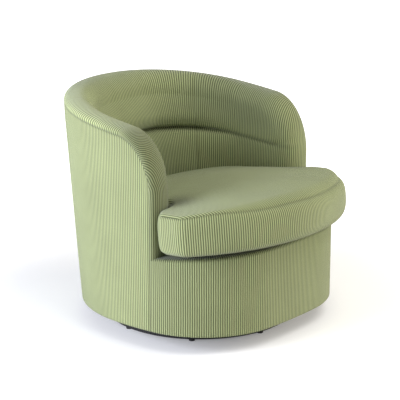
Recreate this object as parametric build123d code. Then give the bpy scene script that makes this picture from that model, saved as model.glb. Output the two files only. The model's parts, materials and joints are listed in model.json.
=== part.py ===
from build123d import *
import math
import os

# Barrel swivel chair, in millimetres
# The origin is on the floor under the swivel axis, +Z is up and the sitter faces -Y

# Plan of the upholstered body at its hem: four bowed sides and four rounded corners
HALF_WIDTH = 375.0
FRONT_REACH = 376.5
BACK_REACH = 367.0
FRONT_BOW = 1536.0
SIDE_BOW = 1100.0
BACK_BOW = 460.0
FRONT_CORNER = 278.0
BACK_CORNER_INSET = 16.0
BACK_RAKE = 6.25

# Heights and slopes of the body
HEM_HEIGHT = 58.0
SEAT_HEIGHT = 304.0
SEAT_RAKE = 5.0
RIM_HEIGHT = 688.0
RIM_SLOPE = 6.7
CREASE_HEIGHT = 517.0

# Arms and padded rim
ARM_SETBACK = 249.0
ARM_TURN = 115.0
ARM_DROP = 152.0
RIM_WIDTH = 96.0
RIM_CROWN = 22.0
RIM_SHOULDER = 19.0
RIM_OUTER_ROUND = 13.0
RIM_INNER_ROUND = 18.0
OVAL = 0.5523

# Thickness of the layers of the wall and the deck
COVER = 2.5
PANEL = 3.0
TIMBER = 45.0
STRAP = 2.0
BOARD = 18.0
SEAT_PAD = 8.0
DUST_COVER = 0.8

# Wall at the arms and at the middle of the back, at each stage of a pad from the deck up
LOWER_PAD_FOOT = (103.0, 138.0)
LOWER_PAD_BELLY = (109.0, 165.0)
LOWER_PAD_SHOULDER = (109.0, 167.0)
CREASE_PINCH = (104.0, 128.0)
UPPER_PAD_BELLY = (108.0, 149.0)
UPPER_PAD_SHOULDER = (103.0, 124.0)
UPPER_PAD_TOP = (94.0, 92.0)
LOWER_PAD_STAGES = (0.0, 0.4, 0.78, 1.0)
UPPER_PAD_STAGES = (0.0, 0.26, 0.62, 1.0)
PAD_FOOT = 72.0
INSIDE_CORNER = 215.0
PAD_SEAM_ANGLE = 50.0
PAD_CENTRE = 10.0

# Loose seat cushion
CUSHION_OVERHANG = 62.4
CUSHION_SWEEP = 193.00572525
EAR_INSET = 3.0
CUSHION_GAP = 4.0
CUSHION_SIDE_GAP = 8.0
CUSHION_BACK_GAP = 12.0
CUSHION_CROWN = 170.0
CUSHION_DOME = 2600.0
CUSHION_DOME_CENTRE = 190.0
CUSHION_TOP_ROUND = 24.0
CUSHION_BOTTOM_ROUND = 32.0
EAR_FRONT_ROUND = 62.0
EAR_BACK_ROUND = 36.0
EAR_ROOT_ROUND = 18.0
CUSHION_BACK_ROUND = 190.0

# Frame posts and straps
RIB_THICKNESS = 18.0
RIB_ANGLES = (-104, -70, -35, 0, 35, 70, 104)
POST_ANGLES = (-158, -113, -68, -23, 23, 68, 113, 158)
ARM_RAIL_END = 55.0
BACK_STRAP_HEIGHTS = (340.0, 435.0, 550.0)
STRAP_WIDTH = 60.0
SEAT_STRAP_PITCH = 105.0
LONG_STRAPS = 5
CROSS_STRAPS = 4

# Base ring and glides
GLIDE_HEIGHT = 8.0
GLIDE_RADIUS = 11.0
GLIDE_TAPER = 2.0
GLIDE_CIRCLE = 285.0
GLIDES = 8
GLIDE_TURN = 36.0
RING_RADIUS = 300.0
RING_WIDTH = 40.0
RING_HEIGHT = 30.0
RING_ROUND = 3.0
BAR_WIDTH = 60.0
BAR_THICKNESS = 6.0
BAR_DROP = 0.0

# Swivel bearing
PLATE = 3.0
LOWER_PLATE_SIDE = 180.0
UPPER_PLATE_SIDE = 200.0
PLATE_CORNER = 14.0
BALL_RADIUS = 8.0
BALLS = 12
RACE_RADIUS = 60.0
RACE_WIDTH = 24.0
RACE_HEIGHT = 5.0
RACE_PLAY = 0.1
CAGE_THICKNESS = 2.0
CAGE_WIDTH = 24.0
CAGE_PLAY = 0.25
PIN_RADIUS = 8.0
PIN_PLAY = 0.05
PIN_HEAD_RADIUS = 14.0
PIN_HEAD_HEIGHT = 4.0
PIN_WASHER_RADIUS = 16.0
PIN_WASHER_HEIGHT = 2.0
PIN_WASHER_PLAY = 0.3
PIN_ROOM = 3.0

# Bolts, nuts and tee nuts of the bearing
BOLT_RADIUS = 3.0
BOLT_PLAY = 0.2
BOLT_HEAD_RADIUS = 6.5
BOLT_HEAD_HEIGHT = 3.0
NUT_HEIGHT = 5.0
LOWER_BOLT_CIRCLE = 82.0
UPPER_BOLT_OFFSET = 74.0
TEE_NUT_RADIUS = 11.0
TEE_NUT_FLANGE = 1.5
TEE_NUT_BARREL = 5.0
TEE_NUT_DEPTH = 9.0

# Worked out from the above
CLAD = COVER + PANEL
FRAME_INNER = CLAD + TIMBER
PAD_OUTER = FRAME_INNER + STRAP
ROOM = 3.0 * max(HALF_WIDTH, BACK_REACH, RIM_HEIGHT)
slope = math.radians(RIM_SLOPE)
rake = math.radians(BACK_RAKE)
BACK_CORNER = HALF_WIDTH - BACK_CORNER_INSET
ARM_FRONT = ARM_SETBACK - FRONT_REACH
APEX_Y = ARM_FRONT + ARM_TURN
CUSHION_EAR = HALF_WIDTH - EAR_INSET
RING_BOTTOM = GLIDE_HEIGHT
RING_TOP = RING_BOTTOM + RING_HEIGHT
BAR_TOP = RING_TOP - BAR_DROP
LOWER_PLATE_TOP = BAR_TOP + PLATE
BALL_HEIGHT = LOWER_PLATE_TOP + BALL_RADIUS + RACE_PLAY
UPPER_PLATE_BOTTOM = BALL_HEIGHT + BALL_RADIUS + RACE_PLAY
BOARD_BOTTOM = UPPER_PLATE_BOTTOM + PLATE
BOARD_TOP = BOARD_BOTTOM + BOARD
FRAME_TOP = -(COVER + SEAT_PAD + 2.0 * STRAP)
FRAME_BOTTOM = FRAME_TOP - BOARD
CUSHION_LEAN = CUSHION_CROWN * math.sin(math.radians(SEAT_RAKE))
LOFT_TOP = RIM_HEIGHT + 2.0 * RIM_CROWN


def back_reach(height):
    """Reach of the raked back behind the axis at a height."""
    return BACK_REACH + (height - HEM_HEIGHT) * math.tan(rake)


RIM_BACK = back_reach(RIM_HEIGHT)
APEX_Z = RIM_HEIGHT - (RIM_BACK - APEX_Y) * math.tan(slope)
TURN_FOOT_Z = APEX_Z - ARM_DROP - ARM_TURN * math.tan(slope)


def circles_meet(first, first_radius, second, second_radius, side):
    """Point where two circles cross, on one side of the line between their centres."""
    line = second - first
    along = (first_radius**2 - second_radius**2 + line.length**2) / (2.0 * line.length)
    across = math.sqrt(first_radius**2 - along**2)
    unit = line.normalized()
    return first + unit * along + Vector(-unit.Y, unit.X) * side * across


def bowed_half(reach, bow, corner, inset, facing):
    """Right half of one end of the plan, as two arcs from the side apex and the middle of its end.

    The side arc, the corner and the end arc touch without a break, and an inset keeps their centres.
    """
    side_centre = Vector(HALF_WIDTH - SIDE_BOW, 0)
    end_centre = Vector(0, facing * (reach - bow))
    corner_centre = circles_meet(end_centre, bow - corner, side_centre, SIDE_BOW - corner, -facing)
    side_end = side_centre + (corner_centre - side_centre).normalized() * (SIDE_BOW - inset)
    end_start = end_centre + (corner_centre - end_centre).normalized() * (bow - inset)
    side_middle = Vector(HALF_WIDTH, 0) + side_end + Vector(-inset, 0) - side_centre * 2.0
    corner_middle = side_end + end_start - corner_centre * 2.0
    apex = Vector(HALF_WIDTH - inset, 0)
    side_bend = side_centre + side_middle.normalized() * (SIDE_BOW - inset)
    corner_bend = corner_centre + corner_middle.normalized() * (corner - inset)
    arcs = [
        ThreePointArc(apex, side_bend, side_end),
        ThreePointArc(side_end, corner_bend, end_start),
    ]
    end_middle = Vector(0, facing * (reach - inset))
    return arcs, end_start, end_middle


def bowed_end(reach, bow, corner, inset, facing):
    """Five touching arcs round one end of the plan, from the right apex to the left one."""
    arcs, end_start, end_middle = bowed_half(reach, bow, corner, inset, facing)
    end_arc = ThreePointArc(end_start, end_middle, Vector(-end_start.X, end_start.Y))
    mirrored = [arc.mirror(Plane.YZ) for arc in reversed(arcs)]
    return arcs + [end_arc] + mirrored


def back_end(reach, inset):
    """Arcs round the back, with the reach counted from the side apex."""
    return bowed_end(reach, BACK_BOW, BACK_CORNER, inset, 1)


def front_end(inset):
    """Arcs round the front, counted from the side apex."""
    return bowed_end(FRONT_REACH + APEX_Y, FRONT_BOW, FRONT_CORNER, inset, -1)


def plan_face(height, inset):
    """Plan of the body at a height, drawn in by an inset."""
    outline = Wire(back_end(back_reach(height) - APEX_Y, inset) + front_end(inset))
    return Pos(0, APEX_Y, height) * Face(outline)


def barrel(inset):
    """Body of the chair as one raked solid, drawn in by an inset."""
    return loft([plan_face(HEM_HEIGHT, inset), plan_face(LOFT_TOP, inset)], ruled=True)


def slab(low, high):
    """Level layer between two heights."""
    return Pos(0, 0, (low + high) / 2.0) * Box(ROOM, ROOM, high - low)


SEAT_PLACE = Pos(0, -FRONT_REACH, SEAT_HEIGHT) * Rot(-SEAT_RAKE, 0, 0)


def seat_slab(low, high):
    """Layer along the raked seat, counted up from the top of the deck."""
    return SEAT_PLACE * slab(low, high)


def behind(front):
    """Everything behind an upright plane across the chair."""
    return Pos(0, front + ROOM / 2.0, 0) * Box(ROOM, ROOM, ROOM)


def right_of(line):
    """Everything right of an upright plane from front to back."""
    return Pos(line + ROOM / 2.0, 0, 0) * Box(ROOM, ROOM, ROOM)


def arm_curve(depth):
    """Rim seam over an arm front, as seen from the side: a quarter oval leant to the rim's slope."""
    turn = ARM_TURN - depth
    drop = ARM_DROP - depth
    foot = Vector(0, ARM_FRONT + depth, TURN_FOOT_Z + depth * math.tan(slope))
    top = Vector(0, APEX_Y, APEX_Z - depth)
    rise = Vector(0, 0, drop * OVAL)
    along = Vector(0, turn, turn * math.tan(slope)) * OVAL
    return foot, top, Bezier(foot, foot + rise, top - along, top)


def under_rim(depth):
    """Everything behind and below the rim seam, as seen from the side, moved in by a depth."""
    foot, top, curve = arm_curve(depth)
    floor = Vector(0, foot.Y, -ROOM)
    far = top + Vector(0, ROOM, ROOM * math.tan(slope))
    far_floor = Vector(0, far.Y, -ROOM)
    outline = Wire([Line(floor, foot), curve, Line(top, far), Line(far, far_floor), Line(far_floor, floor)])
    return extrude(Face(outline), amount=ROOM, dir=(1, 0, 0), both=True)


def cavity_face(height, size):
    """Open inside of the barrel at a height: straight arms and a rounded back."""
    half_width = HALF_WIDTH - size[0]
    reach = back_reach(height) - size[1]
    with BuildSketch() as outline:
        with BuildLine():
            Polyline(
                (-half_width, -ROOM / 2.0),
                (half_width, -ROOM / 2.0),
                (half_width, reach),
                (-half_width, reach),
                close=True,
            )
        make_face()
        fillet(outline.vertices().sort_by(Axis.Y)[-2:], INSIDE_CORNER)
    return Pos(0, 0, height) * outline.sketch


def lower_cavity():
    """Hollow in front of the lower pads, which belly out between the deck and the crease."""
    foot = SEAT_HEIGHT - PAD_FOOT
    rise = CREASE_HEIGHT - foot
    stages = [LOWER_PAD_FOOT, LOWER_PAD_BELLY, LOWER_PAD_SHOULDER, CREASE_PINCH]
    heights = [foot + rise * share for share in LOWER_PAD_STAGES]
    return loft([cavity_face(height, size) for height, size in zip(heights, stages)])


def upper_cavity():
    """Hollow in front of the upper pads, which belly out over the crease and flare to the rim."""
    rise = LOFT_TOP - CREASE_HEIGHT
    stages = [CREASE_PINCH, UPPER_PAD_BELLY, UPPER_PAD_SHOULDER, UPPER_PAD_TOP]
    heights = [CREASE_HEIGHT + rise * share for share in UPPER_PAD_STAGES]
    return loft([cavity_face(height, size) for height, size in zip(heights, stages)])


def rim_section():
    """Section of the rim: a flat foot as wide as the wall, under a rounded crown."""
    half = RIM_WIDTH / 2.0
    with BuildSketch() as section:
        with BuildLine():
            Line((-half, 0), (half, 0))
            Line((half, 0), (half, RIM_SHOULDER))
            ThreePointArc((half, RIM_SHOULDER), (0, RIM_CROWN), (-half, RIM_SHOULDER))
            Line((-half, RIM_SHOULDER), (-half, 0))
        make_face()
        corners = section.vertices().sort_by(Axis.Y)[-2:].sort_by(Axis.X)
        fillet(corners[0], RIM_OUTER_ROUND)
        corners = section.vertices().sort_by(Axis.X)[-2:].sort_by(Axis.Y)
        fillet(corners[-1], RIM_INNER_ROUND)
    return section.sketch


def rim_roll():
    """Padded rim: round the back on the sloping seam, over the arm turns and down the arm fronts."""
    lean = Vector(0, -math.sin(slope), math.cos(slope))
    along = Vector(0, math.cos(slope), math.sin(slope))
    seam = Plane(Vector(0, APEX_Y, APEX_Z), x_dir=(1, 0, 0), z_dir=lean)
    reach = (RIM_BACK - APEX_Y) / math.cos(slope)
    middle = HALF_WIDTH - RIM_WIDTH / 2.0
    path = Wire([seam * arc for arc in back_end(reach, RIM_WIDTH / 2.0)])
    section = Plane(seam.origin + Vector(middle, 0, 0), x_dir=(-1, 0, 0), z_dir=along) * rim_section()
    crest = sweep(section, path=path)
    foot, top, curve = arm_curve(0)
    leg = Line(Vector(0, foot.Y, 0), foot)
    arm = sweep(section, path=Pos(middle, 0, 0) * Wire([leg, curve]))
    arm -= seat_slab(-ROOM, 0)
    return crest + arm + mirror(arm, about=Plane.YZ)


def upright(ring, angle):
    """Board cut from the frame ring, square to it, at an angle from the middle of the back."""
    board = Pos(0, ROOM / 2.0, 0) * Box(RIB_THICKNESS, ROOM, ROOM)
    return ring & (Pos(0, PAD_CENTRE, 0) * Rot(0, 0, -angle) * board)


def pad_wedge():
    """Back part of the inside, between the two upright seams."""
    half = math.radians(PAD_SEAM_ANGLE)
    tip = Vector(0, PAD_CENTRE)
    right = tip + Vector(math.sin(half), math.cos(half)) * ROOM
    left = Vector(-right.X, right.Y)
    outline = Wire.make_polygon([tip, right, left], close=True)
    return extrude(Face(outline), amount=ROOM, both=True)


def cushion_plan(inset):
    """Plan of the cushion on the seat: bowed front, an ear before each arm and a rounded back."""
    front = -CUSHION_OVERHANG
    ear_front = front + CUSHION_SWEEP
    ear_back = FRONT_REACH + ARM_FRONT - RIM_CROWN - CUSHION_GAP - CUSHION_LEAN
    side = HALF_WIDTH - LOWER_PAD_BELLY[0] - CUSHION_SIDE_GAP
    back = FRONT_REACH + back_reach(SEAT_HEIGHT) - LOWER_PAD_BELLY[1] - CUSHION_BACK_GAP - CUSHION_LEAN
    with BuildSketch() as outline:
        with BuildLine():
            ThreePointArc((-CUSHION_EAR, ear_front), (0, front), (CUSHION_EAR, ear_front))
            Polyline(
                (CUSHION_EAR, ear_front),
                (CUSHION_EAR, ear_back),
                (side, ear_back),
                (side, back),
                (-side, back),
                (-side, ear_back),
                (-CUSHION_EAR, ear_back),
                (-CUSHION_EAR, ear_front),
            )
        make_face()
        rounds = [
            (CUSHION_EAR, ear_front, EAR_FRONT_ROUND),
            (CUSHION_EAR, ear_back, EAR_BACK_ROUND),
            (side, ear_back, EAR_ROOT_ROUND),
            (side, back, CUSHION_BACK_ROUND),
        ]
        for x, y, radius in rounds:
            fillet([outline.vertices().sort_by_distance((side_x, y))[0] for side_x in (-x, x)], radius)
        if inset:
            offset(amount=-inset, mode=Mode.REPLACE)
    return outline.sketch


def cushion(inset):
    """Boxed cushion with a domed top and rounded edges, drawn in by an inset."""
    block = extrude(Pos(0, 0, inset) * cushion_plan(inset), amount=CUSHION_CROWN)
    dome = Pos(0, CUSHION_DOME_CENTRE, CUSHION_CROWN - CUSHION_DOME) * Sphere(CUSHION_DOME - inset)
    body = block & dome
    top_edges = body.faces().sort_by(Axis.Z)[-1].outer_wire().edges()
    body = fillet(top_edges, CUSHION_TOP_ROUND - inset)
    bottom_edges = body.faces().sort_by(Axis.Z)[0].outer_wire().edges()
    body = fillet(bottom_edges, CUSHION_BOTTOM_ROUND - inset)
    return SEAT_PLACE * body


def disc(radius, low, high):
    """Upright cylinder on the swivel axis between two heights."""
    return Pos(0, 0, (low + high) / 2.0) * Cylinder(radius, high - low)


def washer(outer, inner, low, high):
    """Flat ring on the swivel axis between two heights."""
    return disc(outer, low, high) - disc(inner, low, high)


def places(points, shape):
    """Copies of a shape at several points of the plan."""
    return [Pos(x, y, 0) * shape for x, y in points]


def circle_points(radius, count, start):
    """Evenly spaced points on a circle round the swivel axis."""
    angles = [math.radians(start + 360.0 * index / count) for index in range(count)]
    return [(radius * math.cos(angle), radius * math.sin(angle)) for angle in angles]


LOWER_BOLTS = circle_points(LOWER_BOLT_CIRCLE, 4, 0)
UPPER_BOLTS = [(x * UPPER_BOLT_OFFSET, y * UPPER_BOLT_OFFSET) for x in (-1, 1) for y in (-1, 1)]


def base_ring():
    """Flat ring under the chair with eased edges."""
    ring = washer(RING_RADIUS, RING_RADIUS - RING_WIDTH, RING_BOTTOM, RING_TOP)
    return fillet(ring.edges(), RING_ROUND)


def glides():
    """Tapered glides under the ring."""
    glide = Pos(0, 0, GLIDE_HEIGHT / 2.0) * Cone(GLIDE_RADIUS - GLIDE_TAPER, GLIDE_RADIUS, GLIDE_HEIGHT)
    return places(circle_points(GLIDE_CIRCLE, GLIDES, GLIDE_TURN), glide)


def cross_bars():
    """Welded cross of two flat bars inside the ring, bored for the pin and the bolts."""
    bars = Box(ROOM, BAR_WIDTH, BAR_THICKNESS) + Box(BAR_WIDTH, ROOM, BAR_THICKNESS)
    bars = Pos(0, 0, BAR_TOP - BAR_THICKNESS / 2.0) * bars
    bars &= disc(RING_RADIUS - RING_WIDTH, RING_BOTTOM, RING_TOP)
    bars -= disc(PIN_HEAD_RADIUS + PIN_ROOM, RING_BOTTOM, RING_TOP)
    return bars - places(LOWER_BOLTS, disc(BOLT_RADIUS + BOLT_PLAY, RING_BOTTOM, RING_TOP))


def swivel_plate(side, low, race_low, pin_hole, bolts):
    """Pressed plate with a grooved race for the balls, a pin hole and bolt holes."""
    plate = extrude(Pos(0, 0, low) * RectangleRounded(side, side, PLATE_CORNER), amount=PLATE)
    half_race = RACE_WIDTH / 2.0
    plate += washer(RACE_RADIUS + half_race, RACE_RADIUS - half_race, race_low, race_low + RACE_HEIGHT)
    plate -= Pos(0, 0, BALL_HEIGHT) * Torus(RACE_RADIUS, BALL_RADIUS + RACE_PLAY)
    plate -= disc(pin_hole, low - RACE_HEIGHT, low + PLATE + RACE_HEIGHT)
    hole = disc(BOLT_RADIUS + BOLT_PLAY, low - RACE_HEIGHT, low + PLATE + RACE_HEIGHT)
    return plate - places(bolts, hole)


def lower_bolts():
    """Bolts from the lower plate down through the bars."""
    low = BAR_TOP - BAR_THICKNESS - NUT_HEIGHT
    head = disc(BOLT_HEAD_RADIUS, LOWER_PLATE_TOP, LOWER_PLATE_TOP + BOLT_HEAD_HEIGHT)
    return places(LOWER_BOLTS, head + disc(BOLT_RADIUS, low, LOWER_PLATE_TOP))


def lower_nuts():
    """Hexagon nuts under the bars."""
    top = BAR_TOP - BAR_THICKNESS
    nut = extrude(Pos(0, 0, top - NUT_HEIGHT) * RegularPolygon(BOLT_HEAD_RADIUS, 6), amount=NUT_HEIGHT)
    return places(LOWER_BOLTS, nut - disc(BOLT_RADIUS, top - NUT_HEIGHT, top))


def king_pin():
    """Pivot pin: a head under the lower plate and a washer over the upper one."""
    washer_low = BOARD_BOTTOM + PIN_WASHER_PLAY
    pin = disc(PIN_HEAD_RADIUS, BAR_TOP - PIN_HEAD_HEIGHT, BAR_TOP)
    pin += disc(PIN_RADIUS, BAR_TOP, washer_low)
    return pin + disc(PIN_WASHER_RADIUS, washer_low, washer_low + PIN_WASHER_HEIGHT)


def ball_cage():
    """Flat cage that spaces the balls round the race."""
    half = CAGE_THICKNESS / 2.0
    outer = RACE_RADIUS + CAGE_WIDTH / 2.0
    cage = washer(outer, outer - CAGE_WIDTH, BALL_HEIGHT - half, BALL_HEIGHT + half)
    pocket = disc(BALL_RADIUS + CAGE_PLAY, BALL_HEIGHT - half, BALL_HEIGHT + half)
    return cage - places(circle_points(RACE_RADIUS, BALLS, 0), pocket)


def bearing_balls():
    """Balls of the swivel race."""
    return places(circle_points(RACE_RADIUS, BALLS, 0), Pos(0, 0, BALL_HEIGHT) * Sphere(BALL_RADIUS))


def upper_bolts():
    """Bolts from the upper plate up into the tee nuts."""
    head = disc(BOLT_HEAD_RADIUS, UPPER_PLATE_BOTTOM - BOLT_HEAD_HEIGHT, UPPER_PLATE_BOTTOM)
    return places(UPPER_BOLTS, head + disc(BOLT_RADIUS, UPPER_PLATE_BOTTOM, BOARD_TOP))


def tee_nuts():
    """Tee nuts pressed into the base board from above."""
    nut = disc(TEE_NUT_RADIUS, BOARD_TOP, BOARD_TOP + TEE_NUT_FLANGE)
    nut += disc(TEE_NUT_BARREL, BOARD_TOP - TEE_NUT_DEPTH, BOARD_TOP)
    bore = disc(BOLT_RADIUS + BOLT_PLAY, BOARD_TOP - TEE_NUT_DEPTH, BOARD_TOP + TEE_NUT_FLANGE)
    return places(UPPER_BOLTS, nut - bore)


def base_board(inner):
    """Plywood floor of the body, bored for the pin, the bolts and the tee nuts."""
    board = inner & slab(BOARD_BOTTOM, BOARD_TOP)
    board -= disc(PIN_WASHER_RADIUS + PIN_ROOM, BOARD_BOTTOM, BOARD_TOP)
    board -= places(UPPER_BOLTS, disc(BOLT_RADIUS + BOLT_PLAY, BOARD_BOTTOM, BOARD_TOP))
    return board - places(UPPER_BOLTS, disc(TEE_NUT_BARREL, BOARD_TOP - TEE_NUT_DEPTH, BOARD_TOP))


def dust_cover(inner):
    """Thin cloth under the base board, cut out round the upper plate."""
    window = UPPER_PLATE_SIDE + 2.0 * PIN_ROOM
    cloth = inner & slab(BOARD_BOTTOM - DUST_COVER, BOARD_BOTTOM)
    return cloth - Pos(0, 0, BOARD_BOTTOM) * Box(window, window, BOARD)


def seat_straps(opening):
    """Long straps from front to back over cross straps, tacked to the seat frame."""
    first = -SEAT_STRAP_PITCH * (LONG_STRAPS - 1) / 2.0
    top = FRAME_TOP + 2.0 * STRAP
    long_straps = []
    for index in range(LONG_STRAPS):
        band = Pos(first + index * SEAT_STRAP_PITCH, 0, 0) * Box(STRAP_WIDTH, ROOM, ROOM)
        long_straps.append(opening & seat_slab(top - STRAP, top) & band)
    first = APEX_Y - SEAT_STRAP_PITCH * (CROSS_STRAPS - 1) / 2.0
    cross_straps = []
    for index in range(CROSS_STRAPS):
        band = Pos(0, first + index * SEAT_STRAP_PITCH, 0) * Box(ROOM, STRAP_WIDTH, ROOM)
        cross_straps.append(opening & seat_slab(FRAME_TOP, FRAME_TOP + STRAP) & band)
    return long_straps, cross_straps


def swivel_base():
    """Pieces that stand still on the floor, and the bearing between them and the chair."""
    pieces = {"base_ring": base_ring(), "glides": glides(), "cross_bars": cross_bars()}
    pieces["lower_swivel_plate"] = swivel_plate(
        LOWER_PLATE_SIDE, BAR_TOP, LOWER_PLATE_TOP, PIN_RADIUS, LOWER_BOLTS
    )
    pieces["lower_plate_bolts"] = lower_bolts()
    pieces["lower_plate_nuts"] = lower_nuts()
    pieces["king_pin"] = king_pin()
    pieces["ball_cage"] = ball_cage()
    pieces["bearing_balls"] = bearing_balls()
    pieces["upper_swivel_plate"] = swivel_plate(
        UPPER_PLATE_SIDE,
        UPPER_PLATE_BOTTOM,
        UPPER_PLATE_BOTTOM - RACE_HEIGHT,
        PIN_RADIUS + PIN_PLAY,
        UPPER_BOLTS,
    )
    pieces["upper_plate_bolts"] = upper_bolts()
    pieces["tee_nuts"] = tee_nuts()
    return pieces


def seat_deck(inner, opening):
    """Seat frame, straps, felt and deck cloth along the raked seat."""
    arm_plane = behind(ARM_FRONT)
    sides = inner - opening
    pieces = {"seat_frame": sides & seat_slab(FRAME_BOTTOM, FRAME_TOP)}
    long_straps, cross_straps = seat_straps(inner - (sides & arm_plane))
    pieces["seat_straps_long"] = long_straps
    pieces["seat_straps_cross"] = cross_straps
    deck = inner - (sides & arm_plane)
    pieces["seat_felt"] = deck & seat_slab(-COVER - SEAT_PAD, -COVER)
    pieces["deck_cloth"] = deck & seat_slab(-COVER, 0)
    return pieces


def body_frame(inner, opening):
    """Posts under the seat frame, ribs above it and the rails that they carry."""
    sides = inner - opening
    low_ring = (sides & slab(BOARD_TOP, ROOM)) - seat_slab(FRAME_BOTTOM, ROOM)
    high_ring = (sides - seat_slab(-ROOM, FRAME_TOP)) & under_rim(BOARD)
    pieces = {}
    for number, angle in enumerate(POST_ANGLES, start=1):
        pieces[f"lower_post_{number}"] = upright(low_ring, angle)
    for number, angle in enumerate(RIB_ANGLES, start=1):
        pieces[f"wall_rib_{number}"] = upright(high_ring, angle)
    rail = (sides - seat_slab(-ROOM, FRAME_TOP)) & (under_rim(0) - under_rim(BOARD))
    back = behind(ARM_RAIL_END)
    pieces["back_rail"] = rail & back
    pieces["arm_rail_left"] = rail - back - right_of(0)
    pieces["arm_rail_right"] = (rail - back) & right_of(0)
    return pieces


def wall_pads(opening, pad_zone):
    """Straps across the ribs and six foam pads round the inside, parted at the crease and two seams."""
    pieces = {}
    clear = under_rim(BOARD)
    for number, height in enumerate(BACK_STRAP_HEIGHTS, start=1):
        band = slab(height, height + STRAP_WIDTH)
        pieces[f"wall_strap_{number}"] = (opening - pad_zone) & band & clear
    zone = (pad_zone & under_rim(0)) - seat_slab(-ROOM, 0)
    low = (zone & slab(-ROOM, CREASE_HEIGHT)) - lower_cavity()
    high = (zone & slab(CREASE_HEIGHT, ROOM)) - upper_cavity()
    wedge = pad_wedge()
    for level, ring in (("lower", low), ("upper", high)):
        pieces[f"{level}_back_pad"] = ring & wedge
        pieces[f"{level}_left_pad"] = ring - wedge - right_of(0)
        pieces[f"{level}_right_pad"] = (ring - wedge) & right_of(0)
    return pieces


def outer_skins(outside, lining, inner):
    """Card panels and cloth covers round the outside, seamed at the back and at the arm fronts."""
    wall = under_rim(0)
    arm_plane = behind(ARM_FRONT)
    cloth = outside - lining
    card = lining - inner
    right = right_of(0)
    front_top = seat_slab(-COVER, ROOM)
    pieces = {
        "outside_cover_left": (cloth & wall) - right,
        "outside_cover_right": cloth & wall & right,
        "outside_panel_left": (card & wall) - right,
        "outside_panel_right": card & wall & right,
        "apron_cover": cloth - arm_plane - seat_slab(0, ROOM),
        "apron_panel": card - arm_plane - front_top,
    }
    return pieces


def loose_cushion():
    """Foam core and sewn cover of the seat cushion."""
    core = cushion(COVER)
    return {"cushion_core": core, "cushion_cover": cushion(0) - core}


def chair():
    """Every piece of the chair by name."""
    outside = barrel(0)
    lining = barrel(COVER)
    inner = barrel(CLAD)
    opening = barrel(FRAME_INNER)
    pad_zone = barrel(PAD_OUTER)
    pieces = swivel_base()
    pieces["base_board"] = base_board(inner)
    pieces["dust_cover"] = dust_cover(inner)
    pieces.update(body_frame(inner, opening))
    pieces.update(seat_deck(inner, opening))
    pieces.update(wall_pads(opening, pad_zone))
    pieces.update(outer_skins(outside, lining, inner))
    pieces["rim_roll"] = rim_roll()
    pieces.update(loose_cushion())
    return pieces


os.makedirs("parts", exist_ok=True)
for name, shape in chair().items():
    if isinstance(shape, list):
        shape = Compound(children=shape)
    export_step(shape, f"parts/{name}.step")
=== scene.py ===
"""Looks of a corduroy barrel swivel chair, laid out as a Blender add-on and run as a script."""
import json
import math

import bmesh
import bpy
import numpy as np
from bpy.props import FloatProperty, FloatVectorProperty, PointerProperty
from bpy.types import Operator, Panel, PropertyGroup
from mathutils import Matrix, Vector


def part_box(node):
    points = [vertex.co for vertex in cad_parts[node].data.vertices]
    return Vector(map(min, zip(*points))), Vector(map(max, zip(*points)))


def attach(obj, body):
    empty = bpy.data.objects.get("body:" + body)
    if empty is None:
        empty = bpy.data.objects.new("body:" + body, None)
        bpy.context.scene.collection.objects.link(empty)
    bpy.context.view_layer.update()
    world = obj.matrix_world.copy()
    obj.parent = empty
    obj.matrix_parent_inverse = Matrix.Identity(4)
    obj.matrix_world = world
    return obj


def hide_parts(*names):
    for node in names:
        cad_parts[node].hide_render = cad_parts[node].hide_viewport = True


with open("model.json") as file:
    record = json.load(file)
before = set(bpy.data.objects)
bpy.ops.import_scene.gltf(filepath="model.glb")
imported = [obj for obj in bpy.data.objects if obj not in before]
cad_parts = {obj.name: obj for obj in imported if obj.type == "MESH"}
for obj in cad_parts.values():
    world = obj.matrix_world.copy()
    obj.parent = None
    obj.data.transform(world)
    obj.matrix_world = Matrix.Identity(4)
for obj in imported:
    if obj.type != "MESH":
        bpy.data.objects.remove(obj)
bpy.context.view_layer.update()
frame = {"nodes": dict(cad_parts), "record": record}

bl_info = {
    "name": "Barrel Swivel Chair",
    "version": (1, 0, 0),
    "blender": (4, 5, 0),
    "location": "3D View > Sidebar > Chair",
    "description": "Upholstery, base and studio for a corduroy barrel swivel chair",
    "category": "Object",
}

COVER_LOW, COVER_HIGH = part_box("outside_cover_right")
APRON_LOW, APRON_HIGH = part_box("apron_cover")
QUARTER = math.pi / 2.0

# Corduroy: wales, shares of clouds, pile and plain colour, relief of the pile and depth of the shading
WALE_SWAY = 0.0016
WALE_ROUND = 0.7
CLOUD_SHARE = 0.30
PILE_SHARE = 0.16
PLAIN_SHARE = 0.77
PILE_RELIEF = 0.22
SHADE_DEPTH = 0.5

# Other finishes: fineness of the grain against the clouds, and shares of clouds and bands
GRAIN_FINENESS = 14.0
CLOUD_PART = 0.65
BAND_PART = 0.6

# Sewing: thickness of the cloth, reach of a seam's pull, and half width and darkness of its line
CLOTH = 0.0025
SEAM_PULL = 0.005
SEAM_LINE = 0.004
FINE_LINE = 0.003
SEAM_SHADE = 0.5
CUSHION_SHADE = 0.6
BACK_SEAM_DEPTH = 0.002

# Swell of the stretched cloth away from its seams
OUTSIDE_SWELL = 0.0012
APRON_SWELL = 0.001
SWELL_REACH = 0.05

# Rows of the folded hem: rise over the hem's height, and inset
HEM_RISE = np.array([[0.0015], [-0.001], [-0.0015]])
HEM_INSET = np.array([[0.016], [0.009], [0.0025]])

# Spacing of the grids of points, and the gap under which borders merge
OUTSIDE_STEP = 0.008
INSIDE_STEP = 0.007
CUSHION_STEP = 0.006
MERGE_GAP = 0.00005

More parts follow.
